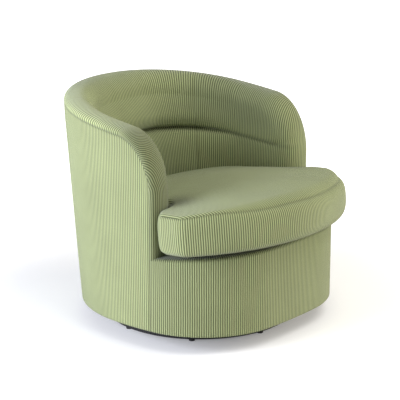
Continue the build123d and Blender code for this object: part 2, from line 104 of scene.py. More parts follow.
# Padded wall at the arms and the back: thickness, and what each stage adds or takes away
ARM_PAD = 0.105
ARM_SWELL = 0.003
ARM_FADE = 0.013
ARM_PINCH = 0.0025
BACK_PAD = 0.124
BACK_LOWER_SWELL = 0.042
BACK_UPPER_SWELL = 0.032
BACK_FOOT = 0.027
BACK_FADE = 0.062
BACK_PINCH = 0.012

# Heights from the crease: rounding of each pad, start and end of its foot and of its fade, and the pinch
LOWER_ROUND = 0.080
UPPER_ROUND = 0.055
FOOT_START = 0.10
FOOT_END = 0.30
FADE_START = 0.03
FADE_END = 0.19
PINCH_REACH = 0.007

# March to the open inside: first depth and number of steps
FIRST_DEPTH = 0.05
MARCH_STEPS = 24

# Upright inside seams, and the darkness of their lines and of the painted shade in the crease
UPRIGHT_REACH = 0.006
UPRIGHT_DEPTH = 0.005
UPRIGHT_SHADE = 0.25
CREASE_SHADE = 0.65

# Apron: roll of its top edge, lift of the ledge, and painted shade at its end at -X
APRON_ROLL = 0.010
LEDGE_LIFT = 0.0015
APRON_END = 0.009
APRON_PAINTED_SHADE = 0.3

# Rim: flatness of both rounds, tuck at the seam and width of its rows, and the inside's foot at the deck
INNER_FLATNESS = 0.92
OUTER_FLATNESS = 0.8
RIM_TUCK = 0.0025
EDGE_ROW = 0.002
FOOT_TUCK = 0.004
FOOT_HEIGHT = 0.24
FOOT_DEPTH = 0.15

# Painted shade on the front and on the upper inside, and painted highlight on the rim
FRONT_PAINTED_SHADE = 0.65
INSIDE_PAINTED_SHADE = 0.6
RIM_PAINTED_HIGHLIGHT = 0.45
PALE_REACH = 0.03

# Ramps of the painted shade and highlight, from none to all: in metres, or as shares of the way round the
# plan
FRONT_RAMP = (0.01, -0.05)
AHEAD_RAMP = (0.02, -0.08)
AHEAD_FADE = 0.35
UPPER_RAMP = (0.0, 0.08)
INSIDE_RAMP = (0.47, 0.10)
PALE_RISE = (0.60, 0.72)
PALE_FALL = (1.0, 0.93)
APRON_RAMP = (0.55, 0.9)

# Cushion: middle of its panels, waves of the uneven top, limits of the worn side and reach of the painted
# shade in the hollow behind each ear
PANEL_MIDDLE = np.array([0.0, 0.15])
SAG = 0.0016
SAG_ACROSS = 19.0
SAG_ALONG = 23.0
SAG_START = 0.6
WORN_START = -0.33
WORN_END = -0.12
HOLLOW_SHADE_REACH = 0.05

# Studio: reach of the floor's glow, and height that the lamps aim at
GLOW_START = 0.55
GLOW_END = 1.9
LAMP_AIM = 0.35


def length(default, description):
    """A size in metres that a user may change."""
    return FloatProperty(description=description, default=default, unit="LENGTH", precision=4)


def turn(degrees, description):
    """An angle that a user may change."""
    return FloatProperty(description=description, default=math.radians(degrees), subtype="ANGLE")


def number(default, description):
    """A plain number that a user may change."""
    return FloatProperty(description=description, default=default)


def colour(red, green, blue, description):
    """A colour given as it looks on a screen, from 0 to 255, and kept as linear light."""
    shares = np.array([red, green, blue]) / 255.0
    linear = np.where(shares <= 0.04045, shares / 12.92, ((shares + 0.055) / 1.055) ** 2.4)
    return FloatVectorProperty(
        description=description, default=linear.tolist(), subtype="COLOR", size=3, min=0, max=1
    )


class BodySizes(PropertyGroup):
    """Sizes of the upholstered body."""

    half_width: length(COVER_HIGH[0], "From the swivel axis to the widest side")
    front_reach: length(-APRON_LOW[1], "From the swivel axis to the apron's middle")
    back_reach: length(0.367, "From the swivel axis to the back at the hem")
    side_bow: length(1.1, "Radius of the bowed sides")
    front_bow: length(1.536, "Radius of the bowed apron")
    back_bow: length(0.460, "Radius of the bowed back")
    front_corner: length(0.278, "Radius of the front corners")
    back_corner: length(0.359, "Radius of the back corners")
    back_rake: turn(6.25, "Lean of the back")
    hem: length(APRON_LOW[2], "Lower edge of the cloth above the floor")
    seat_height: length(APRON_HIGH[2], "Front edge of the deck above the floor")
    seat_rake: turn(5.0, "Fall of the deck towards the back")
    rim_height: length(COVER_HIGH[2], "Rim seam at the back above the floor")
    rim_slope: turn(6.7, "Rise of the rim seam towards the back")
    arm_front: length(COVER_LOW[1], "Front of the arm seam along the chair")
    arm_turn: length(0.115, "Length of the rim seam's turn at an arm front")
    arm_drop: length(0.152, "Height of the rim seam's turn at an arm front")
    rim_crown: length(0.021, "Height of the padded rim over its seam")
    rim_crest: length(0.044, "Rim's crest from the outside")
    rim_inner: length(0.046, "Depth of the rim's inner rounding")
    crease: length(0.527, "Sewn crease at the middle of the back")
    crease_slope: turn(3.2, "Rise of the crease towards the back")
    inside_corner: length(0.215, "Radius of the inside's back corners")
    pad_seam: turn(48.0, "Turn of the upright seams from the middle of the back")
    seam_depth: length(0.0012, "How far a plain seam draws the cloth in")
    ledge: length(0.08, "Depth of the ledge under the cushion")


class CushionSizes(PropertyGroup):
    """Sizes of the loose seat cushion."""

    overhang: length(0.0624, "Reach of the cushion past the apron")
    bow: length(0.472, "Radius of the bowed front")
    ear: length(0.372, "From the middle to the end of an ear")
    ear_back: length(0.219, "Back of the ears behind the apron's front")
    side: length(0.266, "Half width between the arms")
    back: length(0.5786, "Back of the cushion behind the apron's front")
    crown: length(0.170, "Height of the middle over the deck")
    dome: length(2.3, "Radius of the domed top")
    dome_centre: length(0.19, "Middle of the dome behind the apron's front")
    top_round: length(0.012, "Rounding of the top panel at its seam")
    worn_round: length(0.040, "Rounding of the top panel on the worn side, at +X")
    bottom_round: length(0.019, "Rounding of the bottom panel at its seam")
    seam_depth: length(0.0012, "How far a seam draws the cloth in")
    lift: length(0.018, "Rise of the bottom panel towards its seam")
    seam_turn: turn(55.0, "Place of the bottom seam on its rounded edge")
    top_turn: turn(29.0, "Place of the top seam on its rounded edge")
    puff: length(0.006, "Bulge of the boxing between its seams")
    worn_puff: length(0.014, "Bulge of the boxing on the worn side, at +X")
    ear_front_round: length(0.048, "Radius of an ear's front corner")
    ear_back_round: length(0.036, "Radius of an ear's back corner")
    root_round: length(0.045, "Radius of the hollow corner behind an ear")
    back_round: length(0.190, "Radius of the back corners")


class ClothLook(PropertyGroup):
    """Colours and scale of the corduroy."""

    ridge: colour(164, 171, 123, "Top of a wale")
    valley: colour(66, 76, 45, "Groove between two wales")
    pitch: length(0.0068, "Distance between two wales")
    sheen: number(0.25, "Strength of the pile's sheen")


class StudioLook(PropertyGroup):
    """Camera and light."""

    azimuth: turn(-48.857, "Turn of the camera about the chair")
    elevation: turn(15.6, "Camera above the horizon")
    distance: length(4.554, "Camera to its target")
    target_height: length(0.3935, "Height of the camera's target")
    target_front: length(-0.0122, "Place of the camera's target along the chair")
    lens: number(131.217, "Focal length in millimetres")
    shift_x: number(-0.0084, "Sideways shift of the picture")
    shift_y: number(-0.0254, "Upward shift of the picture")
    key: number(158.0, "Power of the large cool lamp at -X")
    top: number(46.0, "Power of the wide lamp high in front")
    side: number(52.0, "Power of the warm lamp at +X")
    fill: number(0.44, "Strength of the light all round")
    floor: colour(234, 233, 232, "Plain pale floor")
    floor_glow: number(0.20, "Light that the floor adds under the chair")


class ChairSettings(PropertyGroup):
    """All settings of the chair."""

    body: PointerProperty(type=BodySizes)
    cushion: PointerProperty(type=CushionSizes)
    cloth: PointerProperty(type=ClothLook)
    studio: PointerProperty(type=StudioLook)


class Socket:
    """An output of a node, on which a sum or a product adds a Math node."""

    def __init__(self, tree, output):
        self.tree = tree
        self.output = output

    def math(self, operation, first, second=0.0):
        """One Math node."""
        return node(self.tree, "ShaderNodeMath", {0: first, 1: second}, operation=operation)

    def __add__(self, other):
        return self.math("ADD", self, other)

    def __sub__(self, other):
        return self.math("SUBTRACT", self, other)

    def __rsub__(self, other):
        return self.math("SUBTRACT", other, self)

    def __mul__(self, other):
        return self.math("MULTIPLY", self, other)

    def __pow__(self, other):
        return self.math("POWER", self, other)


def node(tree, kind, inputs, output=0, **settings):
    """Output of a new node with these settings, and with these values or links as inputs."""
    made = tree.nodes.new(kind)
    for key, value in settings.items():
        setattr(made, key, value)
    for key, value in inputs.items():
        if isinstance(value, Socket):
            tree.links.new(value.output, made.inputs[key])
        else:
            made.inputs[key].default_value = value
    return Socket(tree, made.outputs[output])


def new_material(name):
    """An empty node material and its tree."""
    material = bpy.data.materials.new(name)
    material.use_nodes = True
    material.node_tree.nodes.clear()
    return material, material.node_tree


def close_material(tree, inputs):
    """Joins a shader with these inputs to the output."""
    shader = node(tree, "ShaderNodeBsdfPrincipled", inputs)
    output = tree.nodes.new("ShaderNodeOutputMaterial")
    tree.links.new(shader.output, output.inputs["Surface"])


def mix(tree, share, first, second, blend="MIX"):
    """Mix of two colours by a share."""
    inputs = {0: share, 6: first, 7: second}
    return node(tree, "ShaderNodeMix", inputs, 2, data_type="RGBA", blend_type=blend)


def noise(tree, vector, scale, detail=3.0, roughness=0.55):
    """Cloudy value between 0 and 1."""
    inputs = {"Vector": vector, "Scale": scale, "Detail": detail, "Roughness": roughness}
    return node(tree, "ShaderNodeTexNoise", inputs)


def bump(tree, height, strength, distance):
    """Normal from a height."""
    inputs = {"Height": height, "Strength": strength, "Distance": distance}
    return node(tree, "ShaderNodeBump", inputs)


def corduroy(name, look):
    """Ribbed pile: wales across the cloth's UV, mottled by the lie of the pile, dark at the seams, and darker
    or paler where shade and light are painted in.
    """
    material, tree = new_material(name)
    place = node(tree, "ShaderNodeUVMap", {}, uv_map="cloth")
    flat = node(tree, "ShaderNodeSeparateXYZ", {"Vector": place})
    around = node(tree, "ShaderNodeTexCoord", {}, "Object")
    sway = noise(tree, around, scale=9.0, detail=2.0) * WALE_SWAY
    phase = (flat + sway) * (2.0 * math.pi / look.pitch)
    wave = flat.math("COSINE", phase) * 0.5 + 0.5
    wale = wave**WALE_ROUND
    pile_grain_and_painted_shade = noise(tree, around, scale=900.0, detail=2.0, roughness=0.7)
    clouds = noise(tree, around, scale=7.0, detail=4.0, roughness=0.6)
    # This attribute darkens the cloth at seam lines and painted shade, and lightens it at painted highlights.
    seam_and_painted_light = node(tree, "ShaderNodeAttribute", {}, "Fac", attribute_name="seam_and_painted_light")
    tone = mix(tree, wale, (*look.valley, 1.0), (*look.ridge, 1.0))
    lift = clouds * CLOUD_SHARE + pile_grain_and_painted_shade * PILE_SHARE + PLAIN_SHARE
    level = lift * (1.0 - seam_and_painted_light * SHADE_DEPTH)
    grey = node(tree, "ShaderNodeCombineColor", {0: level, 1: level, 2: level})
    inputs = {
        "Base Color": mix(tree, 1.0, tone, grey, "MULTIPLY"),
        "Roughness": 0.92 - wale * 0.10,
        "Normal": bump(tree, wale + pile_grain_and_painted_shade * PILE_RELIEF, strength=0.9, distance=0.0016),
        "Sheen Weight": look.sheen,
        "Sheen Roughness": 0.45,
        "Sheen Tint": (0.95, 0.97, 0.98, 1.0),
        "Specular IOR Level": 0.15,
    }
    close_material(tree, inputs)
    return material


def mottled(name, dark, light, scale, rough, relief, stretch, gloss):
    """Plain finish with cloudy colour, fine grain and uneven gloss, scaled along each axis."""
    material, tree = new_material(name)
    around = node(tree, "ShaderNodeTexCoord", {}, "Object")
    turned = node(tree, "ShaderNodeMapping", {"Vector": around, "Scale": stretch})
    clouds = noise(tree, turned, scale, detail=4.0)
    grain = noise(tree, turned, scale * GRAIN_FINENESS, detail=3.0, roughness=0.7)
    share = clouds * CLOUD_PART + grain * (1.0 - CLOUD_PART)
    inputs = {
        "Base Color": mix(tree, share, (*dark, 1.0), (*light, 1.0)),
        "Roughness": share * (rough[1] - rough[0]) + rough[0],
        "Normal": bump(tree, grain, strength=0.35, distance=relief),
        **gloss,
    }
    close_material(tree, inputs)
    return material


def banded(name, dark, light, pitch, axis, rough, relief):
    """Layered or woven finish: bands along one axis, broken by fine grain."""
    material, tree = new_material(name)
    around = node(tree, "ShaderNodeTexCoord", {}, "Object")
    place = node(tree, "ShaderNodeSeparateXYZ", {"Vector": around}, axis)
    grain = noise(tree, around, scale=60.0, detail=5.0, roughness=0.65)
    phase = (place + grain * (pitch * 0.25)) * (2.0 * math.pi / pitch)
    wave = place.math("COSINE", phase) * 0.5 + 0.5
    share = wave * BAND_PART + grain * (1.0 - BAND_PART)
    inputs = {
        "Base Color": mix(tree, share, (*dark, 1.0), (*light, 1.0)),
        "Roughness": grain * 0.2 + (rough - 0.1),
        "Normal": bump(tree, share, strength=0.3, distance=relief),
    }
    close_material(tree, inputs)
    return material


def smoothstep(low, high, value):
    """Smooth rise from 0 at low to 1 at high."""
    share = np.clip((value - low) / (high - low), 0.0, 1.0)
    return share * share * (3.0 - 2.0 * share)


def bell(distance, width):
    """Smooth bell of height 1 at a distance of 0."""
    return np.exp(-((distance / width) ** 2))


class Wall:
    """Plan and rake of the body: side, corner and end arcs that touch, by the angle of their normal."""

    def __init__(self, size):
        self.size = size
        self.apex_y = size.arm_front + size.arm_turn
        self.rim_back = self.reach(size.rim_height)
        self.turn_z = self.rim_line(self.apex_y) - size.arm_drop

    def reach(self, height):
        """Reach of the raked back behind the axis at a height."""
        return self.size.back_reach + (height - self.size.hem) * math.tan(self.size.back_rake)

    def rim_line(self, along):
        """Height of the sloping rim seam at a place along the chair."""
        return self.size.rim_height - (self.rim_back - along) * math.tan(self.size.rim_slope)

    def deck(self, along):
        """Height of the raked deck at a place along the chair."""
        return self.size.seat_height - (along + self.size.front_reach) * math.tan(self.size.seat_rake)

    def arcs(self, height, facing):
        """Centres of the corner, the side and the end, limits of the corner's angle, and radii at a height.

        The corner's centre lies where two circles cross, one about the side's centre and one about
        the end's, each smaller than its arc by the corner's radius.
        """
        size = self.size
        if facing > 0:
            reach, bow, corner = self.reach(height) - self.apex_y, size.back_bow, size.back_corner
        else:
            reach = np.zeros_like(height) + size.front_reach + self.apex_y
            bow, corner = size.front_bow, size.front_corner
        side_x = size.half_width - size.side_bow
        end_y = reach - bow
        line_x, line_y = side_x, -end_y
        span = np.hypot(line_x, line_y)
        first, second = bow - corner, size.side_bow - corner
        along = (first**2 - second**2 + span**2) / (2.0 * span)
        across = np.sqrt(first**2 - along**2)
        corner_x = (line_x * along + line_y * across) / span
        corner_y = end_y + (line_y * along - line_x * across) / span
        side_limit = np.arctan2(corner_y, corner_x - side_x)
        end_limit = np.arctan2(corner_y - end_y, corner_x)
        return corner_x, corner_y, side_x, end_y, side_limit, end_limit, bow, corner

    def whole(self, facing):
        """Length of the plan from apex to apex, at the crease."""
        return 2.0 * float(sum(self.runs(np.array(self.size.crease), facing)))

    def runs(self, height, facing):
        """Lengths of the side, the corner and half the end at a height."""
        side_limit, end_limit, bow, corner = self.arcs(height, facing)[4:]
        side = self.size.side_bow * side_limit
        return side, corner * (end_limit - side_limit), bow * (QUARTER - end_limit)

    def point(self, distance, height, inset, facing=1):
        """Points of the wall: arc centre plus (radius - inset) times the normal, at each height.

        The distance starts at the apex at +X and is stretched to the plan's length at the height.
        Before the apexes it runs on along the side arcs.
        """
        distance, height, inset = np.broadcast_arrays(distance, height, inset)
        corner_x, corner_y, side_x, end_y, side_limit, end_limit, bow, corner = self.arcs(height, facing)
        side, bend, half_end = self.runs(height, facing)
        whole = self.whole(facing)
        run = np.minimum(distance, whole - distance)
        run = np.where(run > 0.0, run * (side + bend + half_end) * 2.0 / whole, run)
        on_side, on_corner = run < side, run < side + bend
        on_end = end_limit + (run - side - bend) / bow
        bent = side_limit + (run - side) / corner
        angle = np.where(on_side, run / self.size.side_bow, np.where(on_corner, bent, on_end))
        centre_x = np.where(on_side, side_x, np.where(on_corner, corner_x, 0.0))
        centre_y = np.where(on_side, 0.0, np.where(on_corner, corner_y, end_y))
        radius = np.where(on_side, self.size.side_bow, np.where(on_corner, corner, bow)) - inset
        x = (centre_x + radius * np.cos(angle)) * np.where(distance > whole / 2.0, -1.0, 1.0)
        y = self.apex_y + facing * (centre_y + radius * np.sin(angle))
        return np.stack([x, y, height], axis=-1)

    def rim(self, distance):
        """Height of the rim seam at a distance along the plan.

        Behind the apexes it is the sloping line, and before them a quarter oval leant to that slope.
        """
        line = self.rim_line(self.point(distance, self.size.rim_height, 0.0)[..., 1])
        ahead = np.clip(-np.minimum(distance, self.whole(1) - distance), 0.0, self.size.arm_turn)
        oval = np.sqrt(1.0 - (ahead / self.size.arm_turn) ** 2)
        arch = self.turn_z + self.size.arm_drop * oval - ahead * math.tan(self.size.rim_slope)
        return np.where(ahead > 0.0, arch, line)

    def crease_line(self, distance):
        """Height of the sloping crease at a distance along the plan."""
        along = self.point(distance, self.size.crease, 0.0)[..., 1]
        return self.size.crease - (self.reach(self.size.crease) - along) * math.tan(self.size.crease_slope)

    def pads(self, over):
        """Thickness of the padded wall at the arms and at the back, by the height over the crease.

        Each pad swells like a quarter circle from the crease and fades away from it.
        """
        above, below = np.clip(over, 0.0, None), np.clip(-over, 0.0, None)
        lower = np.sqrt(1.0 - (1.0 - np.clip(below / LOWER_ROUND, 0.0, 1.0)) ** 2)
        upper = np.sqrt(1.0 - (1.0 - np.clip(above / UPPER_ROUND, 0.0, 1.0)) ** 2)
        foot = smoothstep(FOOT_START, FOOT_END, below)
        fade = smoothstep(FADE_START, FADE_END, above)
        pinch = bell(over, PINCH_REACH)
        arm = ARM_PAD + ARM_SWELL * (lower + upper) - ARM_FADE * fade - ARM_PINCH * pinch
        back = BACK_PAD + BACK_LOWER_SWELL * lower - BACK_FOOT * foot
        back = back + BACK_UPPER_SWELL * upper - BACK_FADE * fade - BACK_PINCH * pinch
        return arm, back

    def thickness(self, distance, height):
        """Thickness of the padded wall: a march along the inward normal to the open inside.

        The open inside is a rounded rectangle without a front, and two upright seams draw the pads in.
        """
        size = self.size
        arm, back = self.pads(height - self.crease_line(distance))
        side = size.half_width - arm - size.inside_corner
        end = self.reach(height) - back - size.inside_corner
        outer = self.point(distance, height, 0.0)
        inward = self.point(distance, height, 1.0) - outer
        depth = np.full(height.shape, FIRST_DEPTH)
        for _ in range(MARCH_STEPS):
            spot = outer + inward * depth[..., None]
            over_x = np.abs(spot[..., 0]) - side
            over_y = spot[..., 1] - end
            round_part = np.hypot(np.clip(over_x, 0.0, None), np.clip(over_y, 0.0, None))
            depth = depth + np.minimum(np.maximum(over_x, over_y), 0.0) + round_part - size.inside_corner
        from_end = np.minimum(distance, self.whole(1) - distance)
        return depth - bell(from_end - self.seam_run(), UPRIGHT_REACH) * UPRIGHT_DEPTH

    def seam_run(self):
        """Distance of the upright inside seams from the apex of their arm."""
        run = np.linspace(0.0, self.whole(1) / 2.0, 400)
        spot = self.point(run, self.size.crease, 0.0)
        turned = np.arctan2(spot[..., 0], spot[..., 1])
        return float(np.interp(-self.size.pad_seam, -turned, run))


def add_object(name, data):
    """A new object in the scene."""
    made = bpy.data.objects.new(name, data)
    bpy.context.scene.collection.objects.link(made)
    return made


def add_mesh(name, patches, material, body):
    """Mesh object of one or more grids of points, each with its cloth UV and its shading: dark seam lines,
    painted shade and painted highlights.

    A patch is (points, uv, shading) with points by row, column and axis; borders that meet are merged.
    """
    points, loops_uv, seam_and_painted_light_values, faces = [], [], [], []
    start = 0
    for grid, uv, seam_and_painted_light in patches:
        rows, columns = grid.shape[:2]
        index = np.arange(rows * columns).reshape(rows, columns) + start
        corners = (index[:-1, :-1], index[:-1, 1:], index[1:, 1:], index[1:, :-1])
        faces.append(np.stack(corners, axis=-1).reshape(-1, 4))
        points.append(grid.reshape(-1, 3))
        loops_uv.append(np.broadcast_to(uv, (rows, columns, 2)).reshape(-1, 2))
        seam_and_painted_light_values.append(np.broadcast_to(seam_and_painted_light, (rows, columns)).reshape(-1))
        start += rows * columns
    points, loops_uv, seam_and_painted_light_values, faces = (np.concatenate(part) for part in (points, loops_uv, seam_and_painted_light_values, faces))
    mesh = bpy.data.meshes.new(name)
    mesh.from_pydata(points.tolist(), [], faces.tolist())
    layer = mesh.uv_layers.new(name="cloth")
    layer.data.foreach_set("uv", loops_uv[faces.reshape(-1)].reshape(-1))
    # The attribute holds dark seam lines, painted shade in creases, hollows and on the ledge, and painted
    # highlights where it is below zero.
    mesh.attributes.new("seam_and_painted_light", "FLOAT", "POINT").data.foreach_set("value", seam_and_painted_light_values)
    work = bmesh.new()
    work.from_mesh(mesh)
    bmesh.ops.remove_doubles(work, verts=work.verts, dist=MERGE_GAP)
    work.to_mesh(mesh)
    work.free()
    mesh.polygons.foreach_set("use_smooth", [True] * len(mesh.polygons))
    piece = add_object(name, mesh)
    mesh.materials.append(material)
    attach(piece, body)
    return piece


def cloth_wall(piece):
    """Gives a cloth surface its thickness towards the inside."""
    wall = piece.modifiers.new("Cloth thickness", "SOLIDIFY")
    wall.thickness = CLOTH
    wall.offset = -1.0


def spaced(low, high, step):
    """Evenly spaced values about a step apart."""
    return np.linspace(low, high, max(2, int(round((high - low) / step)) + 1))


def run_along(points):
    """Run along lines of points, from their first row."""
    steps = np.linalg.norm(np.diff(points, axis=0), axis=-1)
    return np.concatenate([np.zeros_like(steps[:1]), np.cumsum(steps, axis=0)])


def seam_pull(size, gap, swell):
    """Inset of stretched cloth by the gap to its seam: drawn in at the seam and swollen away from it."""
    return size.seam_depth * bell(gap, SEAM_PULL) - swell * smoothstep(0.0, SWELL_REACH, gap)


def outside_patch(wall):
    """Outside cloth from one arm seam round the back to the other: plan distance by height.

    Its top follows the rim seam: a quarter oval over each arm turn, then a sloping line.
    """
    size = wall.size
    whole = wall.whole(1)
    bend = size.arm_turn * np.cos(np.linspace(0.0, QUARTER, 32))[:-1]
    distance = np.concatenate([-bend, spaced(0.0, whole, OUTSIDE_STEP), whole + bend[::-1]])
    near = np.minimum(distance, whole - distance)
    top = wall.rim(distance)
    share = np.concatenate([np.linspace(0.0, 0.93, 70), np.linspace(0.94, 1.0, 16)])[:, None]
    height = size.hem + (top - size.hem) * share
    gap = np.minimum(top - height, (near + size.arm_turn) * 0.9)
    inset = seam_pull(size, gap, OUTSIDE_SWELL)
    columns = np.ones_like(distance)
    height = np.concatenate([(size.hem + HEM_RISE) * columns, height])
    inset = np.concatenate([HEM_INSET * columns, inset])
    back_seam = bell(distance - whole / 2.0, SEAM_LINE)
    inset = inset + BACK_SEAM_DEPTH * back_seam
    uv = np.stack(np.broadcast_arrays(distance, height), axis=-1)
    seam_and_painted_light = np.concatenate([0.0 * HEM_RISE * columns, bell(gap, SEAM_LINE)])
    seam_and_painted_light = np.maximum(seam_and_painted_light, back_seam * SEAM_SHADE)
    return wall.point(distance, height, inset), uv, seam_and_painted_light


def apron_patch(wall):
    """Apron from one arm seam round the front to the other, rolled over onto the ledge under the cushion."""
    size = wall.size
    whole = wall.whole(-1)
    start = wall.apex_y - size.arm_front
    ends = np.array([0.0, 0.0012, 0.0025, 0.004, 0.006])
    between = spaced(start + APRON_END, whole - start - APRON_END, OUTSIDE_STEP)
    distance = np.concatenate([start + ends, between, whole - start - ends[::-1]])
    along = wall.point(distance, size.seat_height, 0.0, -1)[..., 1]
    top = wall.deck(along)
    curl = np.linspace(0.0, QUARTER, 9)[:, None]
    share = np.linspace(0.0, 1.0, 40)[:, None]
    ledge = np.linspace(APRON_ROLL, size.ledge, 10)[1:, None]
    columns = np.ones_like(distance)
    face = size.hem + (top - APRON_ROLL - size.hem) * share
    rolled = top - APRON_ROLL + (APRON_ROLL + LEDGE_LIFT) * np.sin(curl)
    flat = (top + LEDGE_LIFT) + 0.0 * ledge
    height = np.concatenate([(size.hem + HEM_RISE) * columns, face, rolled, flat])
    inset = np.concatenate([HEM_INSET, 0.0 * share, APRON_ROLL * (1.0 - np.cos(curl)), ledge]) * columns
    gap = np.minimum(distance - start, whole - start - distance)
    inset = inset + seam_pull(size, gap, APRON_SWELL)
    grid = wall.point(distance, height, inset, -1)
    slide = run_along(grid).mean(axis=1, keepdims=True)
    uv = np.stack(np.broadcast_arrays(distance, slide), axis=-1)
    # Painted shade on the apron towards its end at -X.
    pile_grain_and_painted_shade = APRON_PAINTED_SHADE * smoothstep(*APRON_RAMP, distance / whole)
    # Painted shade on the roll and the ledge under the cushion.
    under = np.concatenate([0.0 * HEM_RISE, 0.0 * share, np.sin(curl), np.ones_like(ledge)])
    shade = np.maximum(np.maximum(bell(gap, SEAM_LINE) * SEAM_SHADE, pile_grain_and_painted_shade), under)
    return grid[:, ::-1], uv[:, ::-1], shade[:, ::-1]


def rim_profile(size):
    """Section across the rim, from the inside up over the crest to the outer seam.

    Gives the distance past the seam line, the share of the wall's thickness and the share of the
    crest's distance from the outside. The inner round is a quarter of a flattened oval, the outer
    one a tighter quarter.
    """
    inner = np.linspace(0.0, QUARTER, 20)
    outer = np.linspace(0.0, QUARTER, 18)[1:]
    rise = size.rim_inner + size.rim_crown
    up = -size.rim_inner + rise * np.sin(inner) ** INNER_FLATNESS
    down = size.rim_crown * np.cos(outer) ** OUTER_FLATNESS
    past = np.concatenate([up, down, [-RIM_TUCK]])
    inward = np.cos(inner) ** INNER_FLATNESS
    wall_share = np.concatenate([inward, np.zeros_like(outer), [0.0]])
    tuck = size.seam_depth / size.rim_crest
    outward = (1.0 - tuck * 0.4) * np.sin(outer) ** OUTER_FLATNESS
    crest_share = np.concatenate([1.0 - inward, 1.0 - outward, [tuck]])
    return past, wall_share, crest_share


def inside_patches(wall):
    """Inside cloth: a sheet round the inside, and a strip up the arm fronts and over the rim.

    In the unrolled cloth each line across the strip runs from the sheet's edge to the rim seam. Over
    an arm turn these lines fan out from the sheet's corner.
    """
    size = wall.size
    whole = wall.whole(1)
    low_front = wall.deck(size.arm_front) - FOOT_TUCK
    rows = np.linspace(0.0, 1.0, 64)
    fan = np.linspace(0.0, QUARTER, 34)[1:-1]
    top_p = spaced(0.0, whole, INSIDE_STEP)
    top_z = wall.rim(top_p) - size.arm_drop
    foot = wall.turn_z - size.arm_turn * math.tan(size.rim_slope)
    fan_p = -size.arm_turn * np.cos(fan)
    seam_p = np.concatenate([np.full_like(rows, -size.arm_turn), fan_p])
    seam_z = np.concatenate([low_front + (foot - low_front) * rows, wall.rim(fan_p)])
    edge_p = np.zeros_like(seam_p)
    edge_z = np.concatenate([low_front + (wall.turn_z - low_front) * rows, np.full_like(fan, wall.turn_z)])
    base_p = np.concatenate([edge_p, top_p, whole - edge_p[::-1]])
    base_z = np.concatenate([edge_z, top_z, edge_z[::-1]])
    line_p = np.concatenate([seam_p, top_p, whole - seam_p[::-1]])
    line_z = np.concatenate([seam_z, wall.rim(top_p), seam_z[::-1]])
    span = np.hypot(line_p - base_p, line_z - base_z)
    out_p, out_z = (line_p - base_p) / span, (line_z - base_z) / span

    past, wall_share, crest_share = (part[:, None] for part in rim_profile(size))
    flat = np.linspace(0.0, 1.0, 44)[:-1, None]
    below = -span + (span - size.rim_inner) * flat
    past = np.concatenate([below, past * np.ones_like(span)])
    wall_share = np.concatenate([np.ones_like(flat), wall_share])
    crest_share = np.concatenate([np.zeros_like(flat), crest_share])
    held = np.minimum(past, -size.rim_inner)
    thick = wall.thickness(line_p + out_p * held, line_z + out_z * held)
    inset = thick * wall_share + size.rim_crest * crest_share
    distance = line_p + out_p * past
    height = line_z + out_z * past
    strip = wall.point(distance, height, inset)
    run = run_along(strip)
    row = np.full_like(top_p, size.crease)
    top_u = run_along(wall.point(top_p, row, wall.thickness(top_p, row)))
    base_u = np.concatenate([edge_p, top_u, top_u[-1] - edge_p])
    uv = np.stack([base_u + out_p * run, base_z + out_z * run], axis=-1)
    from_seam = np.arange(len(past))[::-1, None] * EDGE_ROW
    edge = np.broadcast_to(bell(from_seam, FINE_LINE), run.shape)
    shade = np.maximum(edge, seam_lines_and_crease_shade(wall, distance, height) * wall_share)
    # Painted shade on the arm front at -X and on the upper inside at +X.
    shade = np.maximum(shade, painted_shade(wall, distance, height))
    # Painted highlight: the rim of the arm at -X is made paler.
    pale = smoothstep(*PALE_RISE, distance / whole) * smoothstep(*PALE_FALL, distance / whole)
    shade = shade - RIM_PAINTED_HIGHLIGHT * pale * smoothstep(-PALE_REACH, 0.0, past) * (1.0 - edge)

    inner = wall.point(top_p, FOOT_HEIGHT, FOOT_DEPTH)[..., 1]
    low = wall.deck(inner) - FOOT_TUCK
    low[0] = low[-1] = low_front
    sheet_z = low + (top_z - low) * rows[:, None]
    sheet_p = np.broadcast_to(top_p, sheet_z.shape)
    sheet = wall.point(sheet_p, sheet_z, wall.thickness(sheet_p, sheet_z))
    sheet_uv = np.stack(np.broadcast_arrays(top_u, sheet_z), axis=-1)
    # Dark seam lines, painted shade in the crease, and painted shade on the upper inside at +X.
    sheet_shade = np.maximum(seam_lines_and_crease_shade(wall, sheet_p, sheet_z), painted_shade(wall, sheet_p, sheet_z))
    return [
        (strip[:, ::-1], uv[:, ::-1], shade[:, ::-1]),
        (sheet[:, ::-1], sheet_uv[:, ::-1], sheet_shade[:, ::-1]),
    ]


def seam_lines_and_crease_shade(wall, distance, height):
    """Dark lines of the two upright seams of the inside, and painted shade in the crease."""
    from_end = np.minimum(distance, wall.whole(1) - distance)
    upright = bell(from_end - wall.seam_run(), SEAM_LINE)
    # Painted shade along the crease.
    level = bell(height - wall.crease_line(distance), PINCH_REACH)
    return np.maximum(upright * UPRIGHT_SHADE, level * CREASE_SHADE)


def painted_shade(wall, distance, height):
    """Painted shade on the front of the arm at -X and on the upper inside of the one at +X."""
    whole = wall.whole(1)
    front = smoothstep(*FRONT_RAMP, whole - distance)
    ahead = smoothstep(*AHEAD_RAMP, distance)
    inside = smoothstep(*INSIDE_RAMP, distance / whole) * (1.0 - AHEAD_FADE * ahead)
    upper = smoothstep(*UPPER_RAMP, height - wall.crease_line(distance))
    return np.maximum(front * FRONT_PAINTED_SHADE, inside * upper * INSIDE_PAINTED_SHADE)


